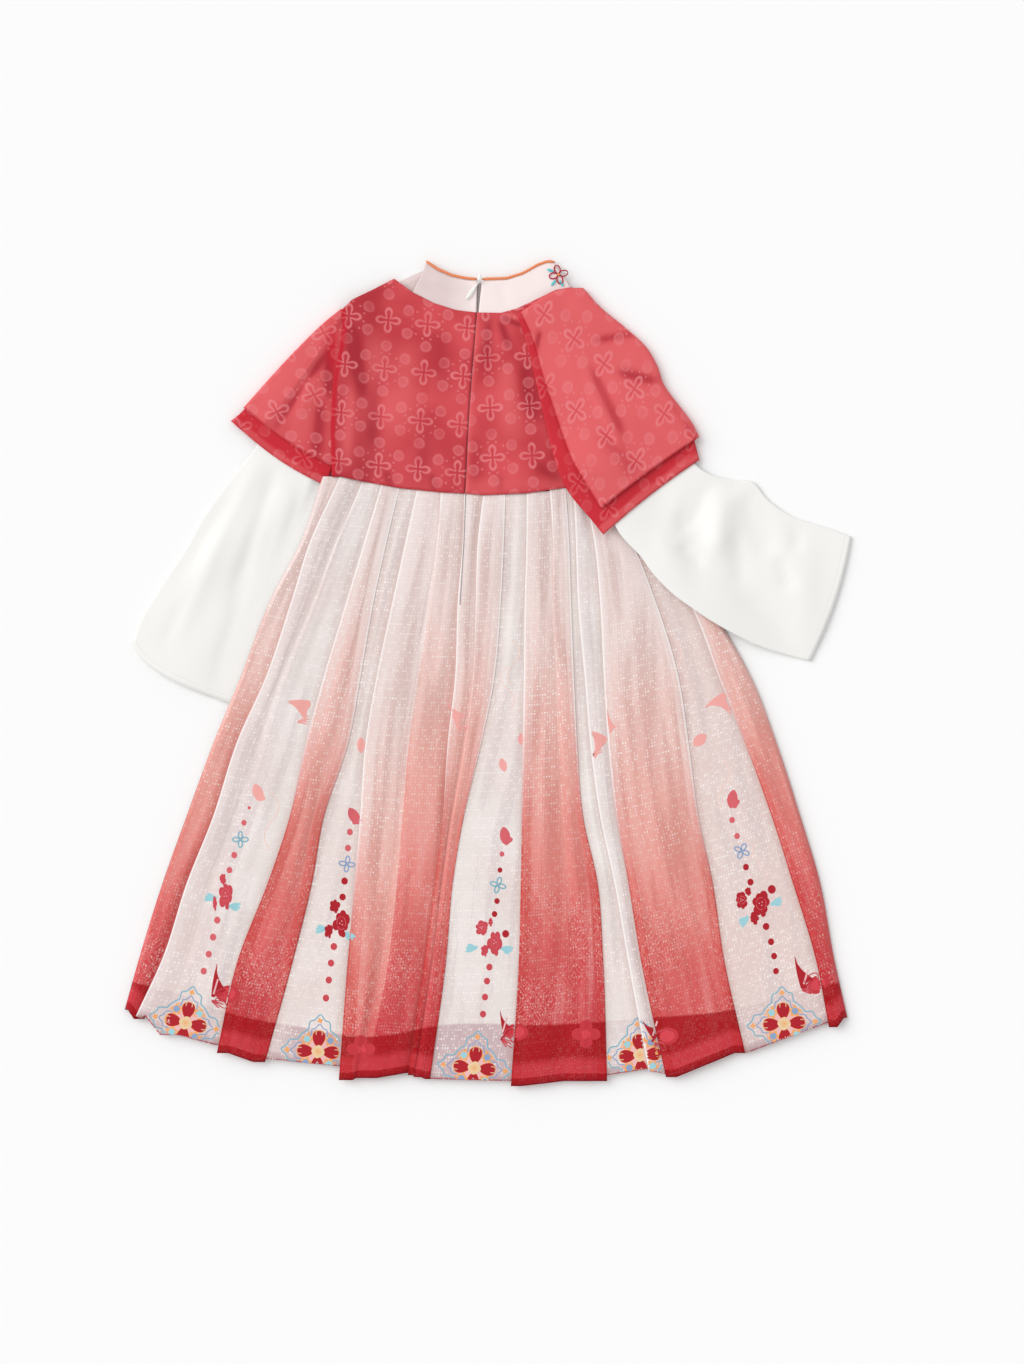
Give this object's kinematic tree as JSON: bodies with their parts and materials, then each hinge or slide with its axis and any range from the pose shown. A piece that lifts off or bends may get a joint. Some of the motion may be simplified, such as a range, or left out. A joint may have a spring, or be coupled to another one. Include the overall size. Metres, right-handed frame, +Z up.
{
  "type": "hanfu dress",
  "caption": "Girl's hanfu dress laid flat on its front: organza bodice with tiered flutter capes, wide white sleeves, stand collar, back zip and pleated banded skirt over a lining",
  "frame": {"origin": "Centre of the bounding box in plan, on the surface that the dress lies on", "axes": "+Y runs up the dress from the hem to the collar, +X to the right of the back as it is seen, +Z up from the surface through the back of the dress"},
  "size_m": [0.7284, 0.8266, 0.0203],
  "materials": {
    "red_organza": "sheer printed organza",
    "white_chiffon": "soft crepe chiffon",
    "collar_cotton": "plain cotton",
    "piping": "satin bias piping",
    "skirt_organza": "lurex organza, ombre and white bands",
    "lining_cotton": "plain voile",
    "zip_tape": "knitted zip tape",
    "zip_plastic": "painted slider and pull"
  },
  "bodies": {
    "root": {"bodice_back_left": "red_organza", "bodice_back_right": "red_organza", "bodice_front": "red_organza", "cape_left_upper": "red_organza", "cape_left_under": "red_organza", "cape_right_upper": "red_organza", "cape_right_under": "red_organza", "sleeve_left": "white_chiffon", "sleeve_right": "white_chiffon", "collar_back_left": "collar_cotton", "collar_back_right": "collar_cotton", "collar_front": "collar_cotton", "collar_piping_left": "piping", "collar_piping_right": "piping", "skirt_back_left": "skirt_organza", "skirt_back_right": "skirt_organza", "skirt_front": "skirt_organza", "skirt_lining": "lining_cotton", "zip_tape": "zip_tape", "zip_slider": "zip_plastic", "zip_pull": "zip_plastic"}
  },
  "joints": []
}
